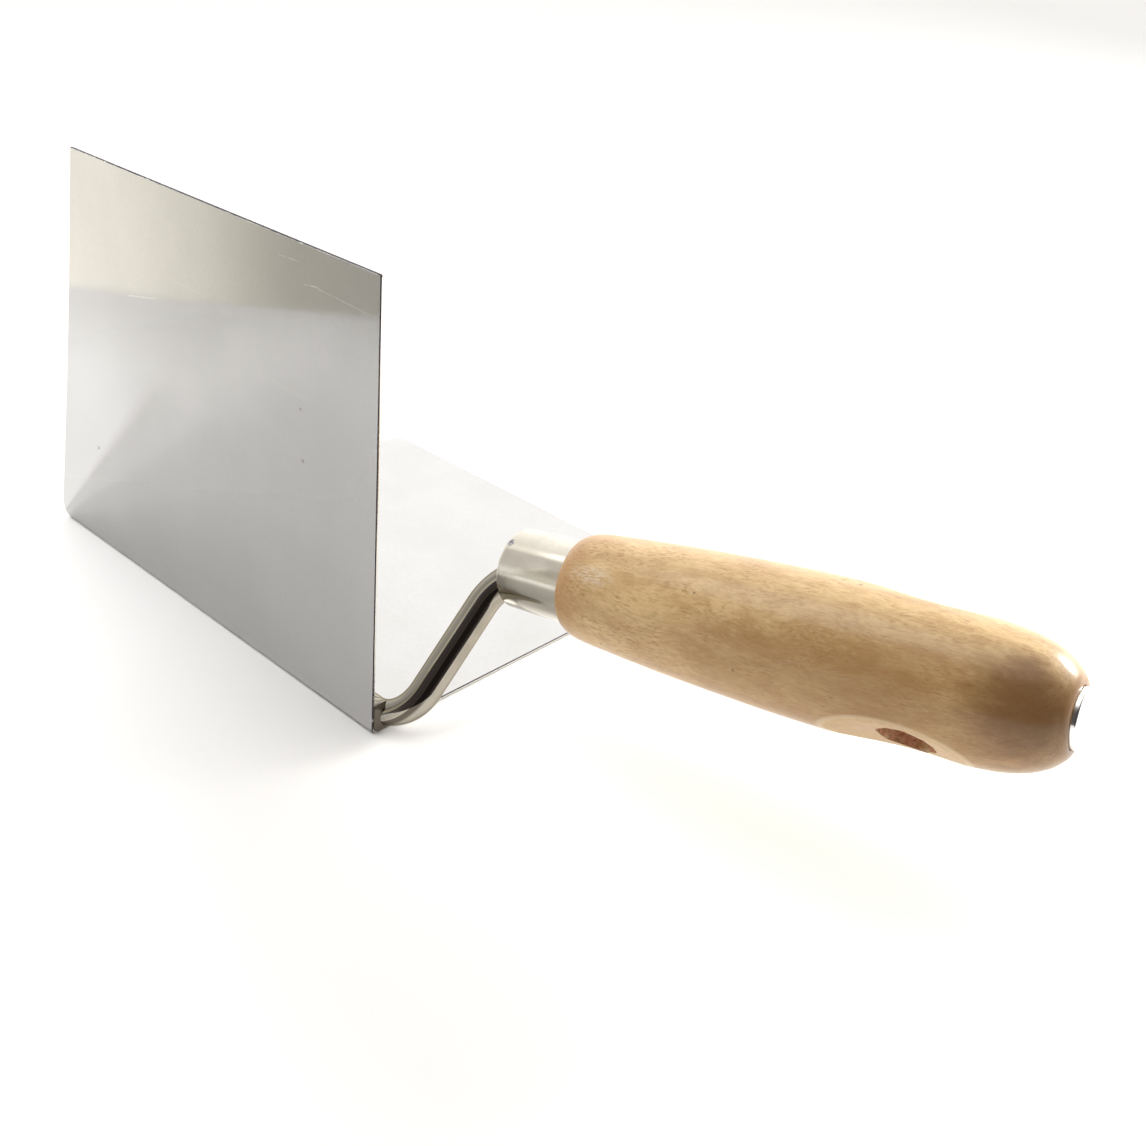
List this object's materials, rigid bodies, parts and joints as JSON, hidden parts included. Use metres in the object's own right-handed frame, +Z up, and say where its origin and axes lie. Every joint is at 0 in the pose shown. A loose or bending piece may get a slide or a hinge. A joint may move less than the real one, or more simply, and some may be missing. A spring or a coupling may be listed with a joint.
{
  "type": "inside corner trowel",
  "caption": "Inside corner trowel with a right-angled sheet steel blade, a bent round shank welded into its corner, a ferrule and a turned wooden handle with a hanging hole.",
  "frame": {"origin": "middle of the tool's bounding box in plan, on the plane of the lying flange's outer face, which the tool rests on", "axes": "+X along the fold from the handle end to the blade's far tip, +Y out through the standing flange, +Z up from the lying flange"},
  "size_m": [0.2866, 0.115, 0.115],
  "materials": {
    "stainless_sheet": "bright rolled stainless sheet, softly mirroring, with fine handling scratches",
    "polished_rod": "polished drawn round rod",
    "weld_metal": "dull, heat-tinted weld bead",
    "ferrule_steel": "bright nickel-plated tube with a rolled front lip",
    "lacquered_wood": "light tan hardwood with fine grain under clear lacquer, bare in the hanging hole",
    "cap_steel": "bright pressed disc"
  },
  "bodies": {
    "root": {"blade": "stainless_sheet", "shank": "polished_rod", "weld_bead_standing": "weld_metal", "weld_bead_lying": "weld_metal", "weld_bead_end": "weld_metal", "ferrule": "ferrule_steel", "wooden_handle": "lacquered_wood", "butt_cap": "cap_steel"}
  },
  "joints": []
}
